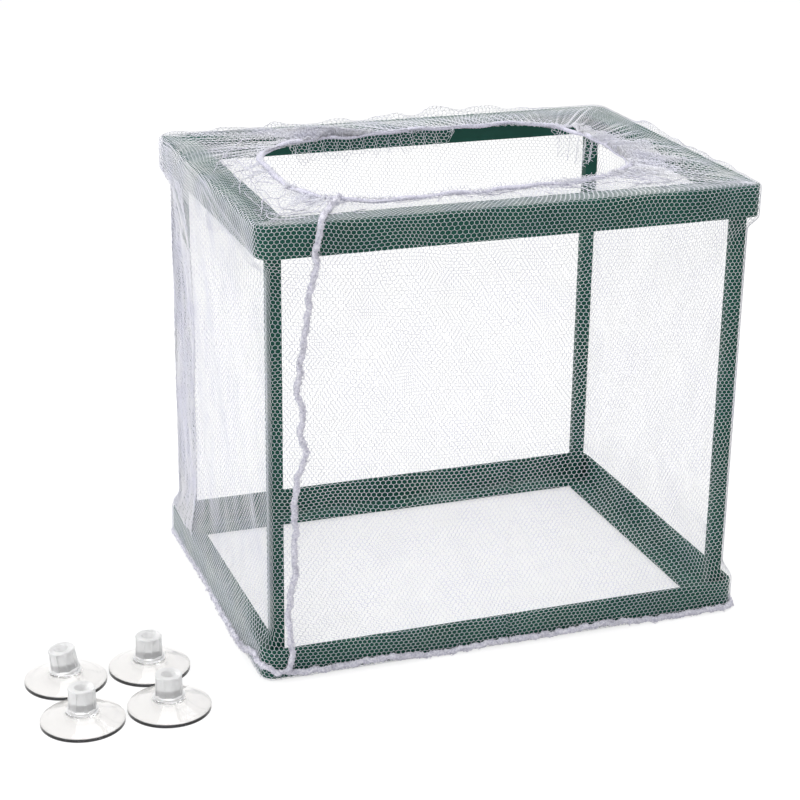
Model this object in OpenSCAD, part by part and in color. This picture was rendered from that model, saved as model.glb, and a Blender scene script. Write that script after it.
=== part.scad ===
// Fish breeding box: a knock-down plastic frame inside a hexagonal net bag, with four loose suction cups.
// Millimetres, +Z up, the front of the box towards -Y. The origin is the centre of the bag's underside.

/* [Frame rings] */
// Outer width of both frame rings
box_w = 170; // [150:1:200]
// Outer depth of both frame rings
box_d = 126; // [110:1:160]
// Height from the lower ring's underside to the upper ring's top
frame_h = 151; // [120:1:190]
// Height of each ring's upright wall
ring_h = 10; // [8:0.5:14]
// Thickness of each ring's upright wall
ring_wall = 1.4; // [1:0.1:2]
// Width of each ring's flat flange, from the ring's outer face inwards
flange_w = 10.5; // [9.5:0.5:14]
// Thickness of each ring's flat flange
flange_t = 1.4; // [1:0.1:2.2]
// Radius of each ring's outer corners
corner_r = 4.5; // [3:0.5:7]

/* [Posts] */
// Side of each square post
post_side = 4.5; // [4:0.1:5.5]
// Distance from the rings' outer faces to the posts
post_inset = 3.6; // [2.6:0.1:4.2]
// Diameter of the round spigots in the rings' corners, which the posts push on to
spigot_d = 2.4; // [1.8:0.1:2.8]
// Height of each spigot above its flange
spigot_h = 7; // [4:0.5:10]
// Clearance round a spigot, on the diameter
spigot_fit = 0.1; // [0.05:0.05:0.3]
// Depth left in a post's bore past the end of the spigot
spigot_end_gap = 1; // [0.5:0.5:3]

/* [Pegs for the suction cups] */
// Diameter of the pegs behind the rings
peg_d = 4; // [3:0.1:4.6]
// Length of each peg from the ring's outer face
peg_len = 6; // [4:0.5:8]
// Distance between the two pegs of a ring
peg_spacing = 110; // [60:1:130]
// Height of each peg's axis above the open edge of its ring's wall
peg_rise = 5; // [3:0.5:6]
// Clearance round a peg where it comes through the net, all round
peg_hole_fit = 0.5; // [0.3:0.1:1.5]

/* [Net bag] */
// Thickness of the net
net_t = 0.4; // [0.3:0.05:0.6]
// Space between the net and the rings
net_gap = 0.3; // [0.2:0.05:0.6]
// Width of a net cell, before the cells are fitted to their panel
cell_w = 26; // [20:1:40]
// Height of a row of cells, before the rows are fitted to their panel
row_h = 22; // [16:1:30]
// Width of the strands between the cells
strand_w = 1.4; // [1:0.1:2.4]
// Width of the unbroken border round each panel
border_w = 3; // [2:0.5:6]

/* [Mouth] */
// Clear width of the mouth
mouth_w = 120; // [90:1:126]
// Clear depth of the mouth
mouth_d = 86; // [60:1:90]
// Squareness of the mouth's oval, from 2 for an ellipse
mouth_power = 3; // [2:0.2:4]
// Width of the elastic band round the mouth
elastic_w = 2.4; // [1.6:0.2:4]
// Height of the elastic band
elastic_h = 2; // [1.2:0.2:3]
// Clearance between the elastic band and the net round it
elastic_fit = 0.2; // [0.1:0.05:0.4]
// Number of gathers in the net round the mouth
gathers = 30; // [20:1:36]
// Height of the frill above the elastic band
frill_h = 3; // [1.5:0.5:6]
// Thickness of the frill
frill_t = 0.6; // [0.4:0.1:1]
// Depth of the frill's waves, each way
frill_wave = 0.8; // [0.2:0.1:1.2]
// Number of waves in the frill
frill_waves = 24; // [16:1:36]

/* [Seams] */
// Width of the overlocked seam that closes the side net
seam_w = 2.6; // [1.6:0.2:4]
// Thickness of both overlocked seams
seam_t = 1.1; // [0.6:0.1:1.8]
// Clearance between a seam and the net behind it
seam_fit = 0.1; // [0.05:0.05:0.3]
// Distance from the box's left face to the foot of the side seam
seam_foot = 8; // [5:1:30]
// Distance from the box's left face to the head of the side seam
seam_head = 21; // [8:1:40]
// Angle from the right, anticlockwise from above, at which the side seam meets the mouth
seam_mouth_angle = 217; // [205:1:235]
// Sideways wander of the side seam, each way
seam_wander = 1.2; // [0:0.2:2]
// Height of the seam round the bottom
bottom_seam_h = 2.6; // [1.6:0.2:4]

/* [Suction cups] */
// Diameter of each cup's disc
cup_d = 26.5; // [24:0.5:32]
// Thickness of the disc at its rim
rim_t = 0.7; // [0.5:0.1:1.2]
// Width of the ring of rim that a cup stands on
rim_w = 0.8; // [0.6:0.1:1.4]
// Height of the hollow under the disc
hollow_h = 2.4; // [1.6:0.1:2.8]
// Height of the disc's top where it meets the neck
crown_h = 4.2; // [3.8:0.1:5]
// Diameter of the neck between disc and head
neck_d = 8; // [6.6:0.2:8.4]
// Height of the neck
neck_h = 1.1; // [0.8:0.1:2]
// Height of the head
head_h = 6.7; // [6.4:0.1:9]
// Diameter of the head at its foot
head_foot_d = 9.4; // [8.6:0.1:11]
// Diameter of the head at its top
head_top_d = 8.6; // [7.6:0.1:9.4]
// Depth of the bore in the head
bore_depth = 5.3; // [4:0.1:5.4]
// Depth of the lead-in at the bore's mouth
bore_lead = 0.7; // [0.4:0.1:1]
// Grip of the soft bore on a peg, on the diameter
bore_grip = 0.1; // [0.05:0.05:0.3]
// Lean of the far left cup's head, in degrees
far_left_lean = 8; // [0:1:9]
// Distance between the rims of neighbouring cups
cup_apart = 1; // [0.6:0.2:8]
// Distance from the box's left face to the middle of the group of cups
cups_left = 46.5; // [34:0.5:80]
// Distance from the box's front face back to the middle of the group of cups
cups_back = 8; // [-20:1:60]

/* [Hidden] */

$fn = 36;
fine = 72;
green = [0.09, 0.33, 0.26];
net_white = [0.93, 0.93, 0.97];
thread_white = [0.86, 0.85, 0.92];
clear = [0.88, 0.9, 0.92, 0.45];

// Levels, from the bag's underside upwards
frame_z = net_t + net_gap;
frame_top = frame_z + frame_h;
net_top_z = frame_top + net_gap;
bag_top = net_top_z + net_t;
elastic_top = net_top_z + elastic_h;

// Inner faces of the net's side panels
bag_x = box_w / 2 + net_gap;
bag_y = box_d / 2 + net_gap;

post_x = box_w / 2 - post_inset - post_side / 2;
post_y = box_d / 2 - post_inset - post_side / 2;
post_len = frame_h - 2 * flange_t;
cup_pitch = cup_d + cup_apart;
head_z = crown_h + neck_h;

// Distance that a cut runs past the face where it starts or ends
over = 1;

// Share of its rise that a cup's disc has made half way from the rim to the neck
shoulder_share = 0.45;

// Share of the net's top that is open between two gathers
gap_share = 0.8;
oval_steps = 64;

// Corners of a centred rectangle's four quarters, left before right and front before back
QUARTERS = [[-1, -1], [1, -1], [-1, 1], [1, 1]];

// Point at angle a of the mouth's oval, grown outwards by grow
function oval_point(grow, a) =
    let (rx = mouth_w / 2 + grow, ry = mouth_d / 2 + grow)
    let (sum = pow(abs(cos(a)) / rx, mouth_power) + pow(abs(sin(a)) / ry, mouth_power))
    pow(sum, -1 / mouth_power) * [cos(a), sin(a)];

// Whole oval, grown outwards by grow
function mouth_oval(grow) = [
    for (i = [0:oval_steps - 1]) oval_point(grow, 360 * i / oval_steps)
];

// Point where the ray at angle a leaves a centred rectangle of half width rx and half depth ry
function rect_point(rx, ry, a) =
    min(rx / max(abs(cos(a)), 0.001), ry / max(abs(sin(a)), 0.001)) * [cos(a), sin(a)];

module rounded_rect(w, d, r) {
    square([w - 2 * r, d], center = true);
    square([w, d - 2 * r], center = true);
    for (q = QUARTERS)
        translate([q.x * (w / 2 - r), q.y * (d / 2 - r)])
            circle(r = r);
}

// One frame ring, flange down: wall, flange, corner spigots and the two pegs behind it
module frame_ring() {
    difference() {
        linear_extrude(ring_h)
            rounded_rect(box_w, box_d, corner_r);
        translate([0, 0, flange_t])
            linear_extrude(ring_h)
                rounded_rect(box_w - 2 * ring_wall, box_d - 2 * ring_wall, corner_r - ring_wall);
        translate([0, 0, -over])
            linear_extrude(flange_t + 2 * over)
                square([box_w - 2 * flange_w, box_d - 2 * flange_w], center = true);
    }
    for (q = QUARTERS)
        translate([q.x * post_x, q.y * post_y, flange_t / 2])
            cylinder(h = flange_t / 2 + spigot_h, d = spigot_d);
    for (side = [-1, 1])
        translate([side * peg_spacing / 2, box_d / 2 - ring_wall / 2, ring_h - peg_rise])
            rotate([-90, 0, 0])
                cylinder(h = ring_wall / 2 + peg_len, d = peg_d);
}

module bottom_frame() {
    color(green)
        translate([0, 0, frame_z])
            frame_ring();
}

module top_frame() {
    color(green)
        translate([0, 0, frame_top])
            mirror([0, 0, 1])
                frame_ring();
}

// Square post with a round bore in each end; q picks its quarter
module post(q) {
    bore_len = spigot_h + spigot_end_gap;
    color(green)
        translate([q.x * post_x, q.y * post_y, frame_z + flange_t])
            difference() {
                linear_extrude(post_len)
                    square(post_side, center = true);
                translate([0, 0, -over])
                    cylinder(h = bore_len + over, d = spigot_d + spigot_fit);
                translate([0, 0, post_len - bore_len])
                    cylinder(h = bore_len + over, d = spigot_d + spigot_fit);
            }
}

// Hexagonal cell of half width a and half height b, point up
module net_cell(a, b) {
    polygon([[0, b], [a, b / 2], [a, -b / 2], [0, -b], [-a, -b / 2], [-a, b / 2]]);
}

// Rows of cells, every second row half a cell aside, inside w by h from the lower left corner
// The first and last rows are the tips of cells that the border cuts, and end cells may be halves
module net_cells(w, h) {
    field_w = w - 2 * border_w;
    field_h = h - 2 * border_w;
    cols = max(2, round(field_w / cell_w));
    rows = max(2, round(field_h / row_h));
    pitch_x = field_w / cols;
    pitch_y = field_h / (rows + 1 / 3);
    translate([border_w, border_w])
        intersection() {
            square([field_w, field_h]);
            for (row = [-1:rows]) {
                aside = (row + 2) % 2;
                for (col = [0:cols - 1 + aside])
                    translate([pitch_x * (col + (1 - aside) / 2), pitch_y * (row + 2 / 3)])
                        net_cell((pitch_x - strand_w) / 2, pitch_y * 2 / 3 - strand_w / 2);
            }
        }
}

// Upright net panel of width w, standing on z = 0, centred on x, its inner face on y = 0
module side_panel(w) {
    translate([-w / 2, 0, 0])
        rotate([90, 0, 0])
            linear_extrude(net_t)
                difference() {
                    square([w, bag_top]);
                    net_cells(w, bag_top);
                }
}

module net_front() {
    color(net_white)
        translate([0, -bag_y, 0])
            side_panel(2 * (bag_x + net_t));
}

// The back panel opens round the pegs, which push through the net
module net_back() {
    color(net_white)
        difference() {
            translate([0, bag_y, 0])
                rotate([0, 0, 180])
                    side_panel(2 * (bag_x + net_t));
            for (side = [-1, 1], z = [frame_z + ring_h - peg_rise, frame_top - ring_h + peg_rise])
                translate([side * peg_spacing / 2, bag_y - over, z])
                    rotate([-90, 0, 0])
                        cylinder(h = net_t + 2 * over, d = peg_d + 2 * peg_hole_fit);
        }
}

module net_left() {
    color(net_white)
        translate([-bag_x, 0, 0])
            rotate([0, 0, -90])
                side_panel(2 * bag_y);
}

module net_right() {
    color(net_white)
        translate([bag_x, 0, 0])
            rotate([0, 0, 90])
                side_panel(2 * bag_y);
}

module net_floor() {
    color(net_white)
        linear_extrude(net_t)
            translate([-bag_x, -bag_y])
                difference() {
                    square([2 * bag_x, 2 * bag_y]);
                    net_cells(2 * bag_x, 2 * bag_y);
                }
}

// Top of the bag, drawn in to the mouth, with a gap between each two gathers
module net_top() {
    inner = elastic_w + elastic_fit;
    color(net_white)
        translate([0, 0, net_top_z])
            linear_extrude(net_t)
                difference() {
                    square([2 * bag_x, 2 * bag_y], center = true);
                    polygon(mouth_oval(inner));
                    for (i = [0:gathers - 1])
                        gather_gap(360 * (i + 0.5) / gathers, 360 * gap_share / gathers, inner + border_w / 2);
                }
}

// Gap in the net's top about angle a, spread degrees wide, from grow outside the mouth to the border
module gather_gap(a, spread, grow) {
    steps = 2;
    rays = [for (i = [0:steps]) a + spread * (i / steps - 0.5)];
    polygon(concat(
        [for (ray = rays) oval_point(grow, ray)],
        [for (i = [steps:-1:0]) rect_point(bag_x - border_w, bag_y - border_w, rays[i])]
    ));
}

module mouth_elastic() {
    color(thread_white)
        translate([0, 0, net_top_z])
            linear_extrude(elastic_h)
                difference() {
                    polygon(mouth_oval(elastic_w));
                    polygon(mouth_oval(0));
                }
}

// Wavy free edge of the net, standing on the middle of the elastic band
module mouth_frill() {
    wave_steps = 6;
    steps = wave_steps * frill_waves;
    function edge(aside) = [
        for (i = [0:steps - 1])
            oval_point(elastic_w / 2 + frill_wave * sin(360 * i / wave_steps) + aside, 360 * i / steps)
    ];
    color(net_white)
        translate([0, 0, elastic_top + seam_fit])
            linear_extrude(frill_h)
                difference() {
                    polygon(edge(frill_t / 2));
                    polygon(edge(-frill_t / 2));
                }
}

// Sideways place of the side seam at share s of its height
function seam_x(s) =
    -box_w / 2 + seam_foot + (seam_head - seam_foot) * s
    + seam_wander * sin(180 * s) * sin(1080 * s);

// Flat strip of width w along a list of points, cut square to the x axis
module strip(points, w) {
    left = [for (p = points) [p.x - w / 2, p.y]];
    right = [for (i = [len(points) - 1:-1:0]) [points[i].x + w / 2, points[i].y]];
    polygon(concat(left, right));
}

// Seam down the front of the side net, and on over the upper ring to the mouth
module side_seam() {
    steps = 24;
    front_y = -bag_y - net_t - seam_fit;
    foot_z = bottom_seam_h + 2 * seam_fit;
    top_z = bag_top + seam_fit;
    mouth_end = oval_point(elastic_w + seam_w, seam_mouth_angle);
    color(thread_white) {
        translate([0, front_y, 0])
            rotate([90, 0, 0])
                linear_extrude(seam_t)
                    strip([for (i = [0:steps]) [
                        seam_x(i / steps),
                        foot_z + (top_z + seam_t - foot_z) * i / steps
                    ]], seam_w);
        translate([0, 0, top_z])
            linear_extrude(seam_t)
                strip([[seam_x(1), front_y - seam_t], [seam_x(1), front_y], mouth_end], seam_w);
    }
}

// Overlocked seam that joins the floor to the side net
module bottom_seam() {
    inner_x = bag_x + net_t + seam_fit;
    inner_y = bag_y + net_t + seam_fit;
    color(thread_white)
        translate([0, 0, seam_fit])
            linear_extrude(bottom_seam_h)
                difference() {
                    square(2 * [inner_x + seam_t, inner_y + seam_t], center = true);
                    square(2 * [inner_x, inner_y], center = true);
                }
}

// Saucer-shaped disc, hollowed from below by a ball, up to the neck
module cup_disc() {
    hollow_r = cup_d / 2 - rim_w;
    ball_r = (pow(hollow_r, 2) + pow(hollow_h, 2)) / (2 * hollow_h);
    difference() {
        rotate_extrude($fn = fine)
            polygon([
                [0, 0],
                [cup_d / 2, 0],
                [cup_d / 2, rim_t],
                [(cup_d + neck_d) / 4, rim_t + (crown_h - rim_t) * shoulder_share],
                [neck_d / 2, crown_h],
                [0, crown_h]
            ]);
        translate([0, 0, hollow_h - ball_r])
            sphere(r = ball_r, $fn = fine);
    }
}

// Head of a cup from its foot at z = 0, with a blind bore from its top
module cup_head() {
    bore_d = peg_d - bore_grip;
    difference() {
        cylinder(h = head_h, d1 = head_foot_d, d2 = head_top_d);
        translate([0, 0, head_h - bore_depth])
            cylinder(h = bore_depth + over, d = bore_d);
        translate([0, 0, head_h - bore_lead])
            cylinder(h = 2 * bore_lead, d1 = bore_d, d2 = bore_d + 4 * bore_lead);
    }
}

// Suction cup standing on its rim; q picks its quarter of the group and lean tips its head to the left
module suction_cup(q, lean) {
    neck_top = neck_h + (head_h - bore_depth) / 2;
    color(clear)
        translate([
            -box_w / 2 - cups_left + q.x * cup_pitch / 2,
            -box_d / 2 + cups_back + q.y * cup_pitch / 2,
            0
        ]) {
            cup_disc();
            translate([0, 0, crown_h])
                cylinder(h = neck_top, d = neck_d);
            translate([0, 0, head_z])
                rotate([0, -lean, 0])
                    cup_head();
        }
}

top_frame();
bottom_frame();
post(QUARTERS[0]);  // post_front_left
post(QUARTERS[1]);  // post_front_right
post(QUARTERS[2]);  // post_back_left
post(QUARTERS[3]);  // post_back_right
net_front();
net_back();
net_left();
net_right();
net_top();
net_floor();
side_seam();
bottom_seam();
mouth_elastic();
mouth_frill();
suction_cup(QUARTERS[2], far_left_lean);  // suction_cup_1
suction_cup(QUARTERS[3], 0);  // suction_cup_2
suction_cup(QUARTERS[0], 0);  // suction_cup_3
suction_cup(QUARTERS[1], 0);  // suction_cup_4
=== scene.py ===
"""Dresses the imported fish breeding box: plastic frame, knitted net bag, sewn seams and clear suction cups.

Lengths in this file are millimetres in the part's own frame, with +Z up and the front towards -Y,
and Shop.metres turns them into Blender's metres. The origin is the centre of the bag's underside.
"""

import logging
import math
from dataclasses import dataclass, field
from enum import Enum
from typing import Callable, Sequence

import bpy
import numpy as np
from mathutils import Matrix, Vector


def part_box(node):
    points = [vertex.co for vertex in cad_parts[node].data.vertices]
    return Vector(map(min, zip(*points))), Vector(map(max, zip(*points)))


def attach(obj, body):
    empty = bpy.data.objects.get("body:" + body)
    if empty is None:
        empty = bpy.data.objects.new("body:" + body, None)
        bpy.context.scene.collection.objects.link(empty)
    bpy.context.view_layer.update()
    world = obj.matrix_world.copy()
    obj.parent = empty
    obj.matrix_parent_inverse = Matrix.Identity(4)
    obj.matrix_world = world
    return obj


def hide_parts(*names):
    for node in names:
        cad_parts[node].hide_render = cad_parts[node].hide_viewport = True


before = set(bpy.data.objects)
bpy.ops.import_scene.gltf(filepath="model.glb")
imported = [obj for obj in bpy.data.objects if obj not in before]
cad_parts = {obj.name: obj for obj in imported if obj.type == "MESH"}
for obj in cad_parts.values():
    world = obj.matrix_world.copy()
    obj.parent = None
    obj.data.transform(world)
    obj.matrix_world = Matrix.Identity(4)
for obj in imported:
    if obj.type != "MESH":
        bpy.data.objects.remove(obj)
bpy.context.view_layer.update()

log = logging.getLogger("breeding_box")

Array = np.ndarray
Surface = Callable[[Array, Array], Array]

MM = 0.001
TABLE_GAP = 0.1
BAG_BODY = "breeding_box"


class Side(Enum):
    """The four sides of the net bag, anticlockwise from the front as seen from above."""

    FRONT = 0
    RIGHT = 1
    BACK = 2
    LEFT = 3


def smooth_step(x: Array, low: float, high: float) -> Array:
    """Rise smoothly from 0 at low to 1 at high.

    Args:
        x: Values to judge.
        low: Value where the rise starts.
        high: Value where it ends.

    Returns:
        The rise at each value, from 0 to 1.
    """
    t = np.clip((x - low) / (high - low), 0.0, 1.0)
    return t * t * (3 - 2 * t)


def hump(x: Array, middle: float, spread: float) -> Array:
    """Give a smooth hump of height 1.

    Args:
        x: Values to judge.
        middle: Where the hump is highest.
        spread: How far from the middle it has fallen to about a third.

    Returns:
        The hump's height at each value.
    """
    return np.exp(-(((x - middle) / spread) ** 2))


def look_up(at: Array, knots: Array, table: Array) -> Array:
    """Read every column of a table between its knots, one row for each place asked."""
    return np.stack([np.interp(at, knots, column) for column in table.T], axis=1)


def unit(vectors: Array) -> Array:
    """Scale each row to length 1."""
    return vectors / (np.linalg.norm(vectors, axis=1, keepdims=True) + 1e-9)


class Ripple:
    """Smooth random waves over a surface, the same ones in every run."""

    def __init__(self, seed: int, length: float, across: float, waves: int = 7) -> None:
        """Choose the waves.

        Args:
            seed: Seed of the random numbers.
            length: Typical wave length along the first direction, in millimetres.
            across: Typical wave length along the second direction, in millimetres.
            waves: Number of waves added together.
        """
        dice = np.random.default_rng(seed)
        self.first = 2 * math.pi / length * dice.uniform(0.5, 1.5, waves) * dice.choice([-1, 1], waves)
        self.second = 2 * math.pi / across * dice.uniform(0.5, 1.5, waves)
        self.start = dice.uniform(0, 2 * math.pi, waves)

    def __call__(self, a: Array, b: Array) -> Array:
        """Give the waves' height, mostly between -1 and 1, at first places a and second places b."""
        total = np.zeros(np.broadcast(a, b).shape)
        for first, second, start in zip(self.first, self.second, self.start):
            total = total + np.sin(first * a + second * b + start)
        return total / math.sqrt(len(self.start) * 1.2)


class Shop:
    """Plain helpers for modelling with operators, as at a bench."""

    @staticmethod
    def metres(*lengths: float) -> tuple[float, ...]:
        """Turn millimetres into metres."""
        return tuple(length * MM for length in lengths)

    @staticmethod
    def clear() -> None:
        """Leave edit mode and deselect everything."""
        if bpy.context.object is not None and bpy.context.object.mode != "OBJECT":
            bpy.ops.object.mode_set(mode="OBJECT")
        bpy.ops.object.select_all(action="DESELECT")

    @staticmethod
    def pick(piece: bpy.types.Object) -> None:
        """Make a piece the only selected and the active one."""
        Shop.clear()
        piece.select_set(True)
        bpy.context.view_layer.objects.active = piece

    @staticmethod
    def place(piece: bpy.types.Object, name: str) -> bpy.types.Object:
        """Name a new piece and put its place, turn and size into its mesh.

        Args:
            piece: The new piece.
            name: Its name.

        Returns:
            The same piece.
        """
        piece.name = name
        piece.data.name = name
        Shop.pick(piece)
        bpy.ops.object.transform_apply(location=True, rotation=True, scale=True)
        return piece

    @staticmethod
    def block(name: str, size: Sequence[float], centre: Sequence[float]) -> bpy.types.Object:
        """Add a block.

        Args:
            name: Its name.
            size: Width, depth and height in millimetres.
            centre: Its centre in millimetres.

        Returns:
            The block.
        """
        Shop.clear()
        bpy.ops.mesh.primitive_cube_add(size=1, location=Shop.metres(*centre))
        piece = bpy.context.object
        piece.scale = Shop.metres(*size)
        return Shop.place(piece, name)

    @staticmethod
    def rod(
        name: str,
        radius: float,
        length: float,
        centre: Sequence[float],
        turn: Sequence[float] = (0, 0, 0),
        sides: int = 24,
    ) -> bpy.types.Object:
        """Add a round rod.

        Args:
            name: Its name.
            radius: Its radius in millimetres.
            length: Its length in millimetres.
            centre: Its centre in millimetres.
            turn: Its turn from upright, in radians about x, y and z.
            sides: Number of sides.

        Returns:
            The rod.
        """
        Shop.clear()
        bpy.ops.mesh.primitive_cylinder_add(
            vertices=sides,
            radius=radius * MM,
            depth=length * MM,
            location=Shop.metres(*centre),
            rotation=turn,
        )
        return Shop.place(bpy.context.object, name)

    @staticmethod
    def edit(piece: bpy.types.Object, kind: str = "FACE") -> None:
        """Open a piece in edit mode with nothing selected.

        Args:
            piece: The piece to open.
            kind: What is selected there: VERT, EDGE or FACE.
        """
        Shop.pick(piece)
        bpy.ops.object.mode_set(mode="EDIT")
        bpy.ops.mesh.select_mode(type=kind)
        bpy.ops.mesh.select_all(action="DESELECT")
        bpy.ops.object.mode_set(mode="OBJECT")

    @staticmethod
    def select_faces(piece: bpy.types.Object, test: Callable[[Vector, Vector], bool]) -> None:
        """Select faces of an opened piece, and go on in edit mode.

        Args:
            piece: The piece.
            test: Says whether a face is wanted from its centre in millimetres and its normal.
        """
        Shop.edit(piece, "FACE")
        for face in piece.data.polygons:
            face.select = test(face.center / MM, face.normal)
        bpy.ops.object.mode_set(mode="EDIT")

    @staticmethod
    def select_edges(piece: bpy.types.Object, test: Callable[[Vector, Vector], bool]) -> None:
        """Select edges of an opened piece, and go on in edit mode.

        Args:
            piece: The piece.
            test: Says whether an edge is wanted from its two ends in millimetres.
        """
        Shop.edit(piece, "EDGE")
        points = piece.data.vertices
        for edge in piece.data.edges:
            edge.select = test(points[edge.vertices[0]].co / MM, points[edge.vertices[1]].co / MM)
        bpy.ops.object.mode_set(mode="EDIT")

    @staticmethod
    def close() -> None:
        """Leave edit mode."""
        bpy.ops.object.mode_set(mode="OBJECT")

    @staticmethod
    def finish_with(piece: bpy.types.Object, kind: str, **settings: object) -> None:
        """Add a modifier to a piece and apply it.

        Args:
            piece: The piece.
            kind: The modifier's type.
            **settings: Its settings.
        """
        Shop.pick(piece)
        modifier = piece.modifiers.new(kind.lower(), kind)
        for key, value in settings.items():
            setattr(modifier, key, value)
        bpy.ops.object.modifier_apply(modifier=modifier.name)

    @staticmethod
    def combine(piece: bpy.types.Object, other: bpy.types.Object, how: str) -> None:
        """Cut another solid from a piece or melt it on, and delete the other one.

        Args:
            piece: The piece that stays.
            other: The other solid.
            how: DIFFERENCE or UNION.
        """
        Shop.finish_with(piece, "BOOLEAN", operation=how, solver="EXACT", object=other)
        bpy.data.objects.remove(other)

    @staticmethod
    def join(pieces: Sequence[bpy.types.Object], name: str) -> bpy.types.Object:
        """Join pieces into the first one.

        Args:
            pieces: The pieces.
            name: The joined piece's name.

        Returns:
            The joined piece.
        """
        Shop.pick(pieces[0])
        for other in pieces[1:]:
            other.select_set(True)
        bpy.ops.object.join()
        return Shop.place(pieces[0], name)

    @staticmethod
    def soften(piece: bpy.types.Object, width: float, segments: int = 2, angle: float = 35) -> None:
        """Round a piece's sharp edges and shade it smooth.

        Args:
            piece: The piece.
            width: Width of the rounding in millimetres.
            segments: Number of faces across the rounding.
            angle: Angle in degrees from which an edge counts as sharp.
        """
        Shop.finish_with(
            piece,
            "BEVEL",
            width=width * MM,
            segments=segments,
            limit_method="ANGLE",
            angle_limit=math.radians(angle),
            use_clamp_overlap=True,
        )
        Shop.pick(piece)
        bpy.ops.object.shade_smooth_by_angle(angle=math.radians(angle))

    @staticmethod
    def mesh(name: str, points: Array, faces: Array, loops: int) -> bpy.types.Object:
        """Make a smooth mesh piece from points in millimetres and faces of equal length.

        Args:
            name: Its name.
            points: One row of x, y and z for each point.
            faces: One row of point numbers for each face.
            loops: Number of points in each face.

        Returns:
            The piece.
        """
        used, faces = np.unique(faces, return_inverse=True)
        points = points[used]
        faces = faces.reshape(-1, loops)
        data = bpy.data.meshes.new(name)
        data.vertices.add(len(points))
        data.vertices.foreach_set("co", (points * MM).astype(np.float32).ravel())
        data.loops.add(faces.size)
        data.loops.foreach_set("vertex_index", faces.astype(np.int32).ravel())
        data.polygons.add(len(faces))
        data.polygons.foreach_set("loop_start", np.arange(0, faces.size, loops, dtype=np.int32))
        data.polygons.foreach_set("use_smooth", np.ones(len(faces), dtype=bool))
        data.update(calc_edges=True)
        data.validate()
        piece = bpy.data.objects.new(name, data)
        bpy.context.scene.collection.objects.link(piece)
        return piece


class Bench:
    """Wires the nodes of one new material round its Principled shader."""

    def __init__(self, material: bpy.types.Material) -> None:
        """Keep the material's nodes, links and shader."""
        self.nodes = material.node_tree.nodes
        self.links = material.node_tree.links
        self.shader = self.nodes["Principled BSDF"]

    def add(self, kind: str, **settings: object) -> bpy.types.Node:
        """Add a node.

        Args:
            kind: The node's type.
            **settings: Its settings; a name that is an input socket sets that socket.

        Returns:
            The node.
        """
        node = self.nodes.new(kind)
        for key, value in settings.items():
            label = key.replace("_", " ")
            if hasattr(node, key):
                setattr(node, key, value)
            else:
                node.inputs[label].default_value = value
        return node

    def noise(self, scale: float, detail: float = 3) -> bpy.types.NodeSocket:
        """Add noise on the piece's own place.

        Args:
            scale: Waves in a metre.
            detail: Number of finer layers.

        Returns:
            The noise's value socket.
        """
        place = self.add("ShaderNodeTexCoord")
        noise = self.add("ShaderNodeTexNoise", Scale=scale, Detail=detail)
        self.links.new(place.outputs["Object"], noise.inputs["Vector"])
        return noise.outputs["Fac"]

    def blend(
        self,
        value: bpy.types.NodeSocket,
        low: float,
        high: float,
        first: Sequence[float],
        last: Sequence[float],
    ) -> bpy.types.NodeSocket:
        """Blend two colours by a value.

        Args:
            value: What drives it.
            low: Value of the first colour.
            high: Value of the last colour.
            first: First colour, linear.
            last: Last colour, linear.

        Returns:
            The blended colour's socket.
        """
        share = self.add("ShaderNodeMapRange")
        share.inputs["From Min"].default_value = low
        share.inputs["From Max"].default_value = high
        self.links.new(value, share.inputs["Value"])
        mix = self.add("ShaderNodeMix", data_type="RGBA")
        first_socket, last_socket = (entry for entry in mix.inputs if entry.type == "RGBA")
        first_socket.default_value = (*first, 1)
        last_socket.default_value = (*last, 1)
        self.links.new(share.outputs["Result"], mix.inputs["Factor"])
        return mix.outputs[2]

    def bump(self, value: bpy.types.NodeSocket, height: float, strength: float = 1) -> None:
        """Drive the shader's normal by a height.

        Args:
            value: The height's socket, from 0 to 1.
            height: The real height of 1, in millimetres.
            strength: Share of the bump that is used.
        """
        bump = self.add("ShaderNodeBump", Strength=strength, Distance=height * MM)
        self.links.new(value, bump.inputs["Height"])
        self.links.new(bump.outputs["Normal"], self.shader.inputs["Normal"])

    def set(self, **settings: object) -> None:
        """Set sockets of the shader by name, with _ for a space."""
        for key, value in settings.items():
            self.shader.inputs[key.replace("_", " ")].default_value = value

    def link(self, value: bpy.types.NodeSocket, socket: str) -> None:
        """Link a value to one of the shader's sockets."""
        self.links.new(value, self.shader.inputs[socket])


@dataclass(frozen=True)
class Finish:
    """Base of the finishes: one material for one of the part's slots."""

    name: str
    slot: str

    def build(self) -> bpy.types.Material:
        """Make the material once, and give the same one after that."""
        made = bpy.data.materials.get(self.name)
        if made is None:
            made = bpy.data.materials.new(self.name)
            made.use_nodes = True
            self.wire(Bench(made))
        return made

    def wire(self, bench: Bench) -> None:
        """Set the shader's sockets and add the nodes of this finish."""


@dataclass(frozen=True)
class GreenPlastic(Finish):
    """Injection-moulded green plastic of the rings and posts."""

    name: str = "moulded_green"
    slot: str = "green_plastic"
    shade: tuple[float, float, float] = (0.007, 0.062, 0.044)
    light: tuple[float, float, float] = (0.012, 0.086, 0.063)

    def wire(self, bench: Bench) -> None:
        """Add cloudy colour, fine moulded grain and a satin gloss."""
        cloud = bench.noise(60, 4)
        bench.link(bench.blend(cloud, 0.3, 0.7, self.shade, self.light), "Base Color")
        bench.set(Roughness=0.42, IOR=1.45, Specular_IOR_Level=0.18)
        bench.bump(bench.noise(2600, 2), 0.02, 0.5)


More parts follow.
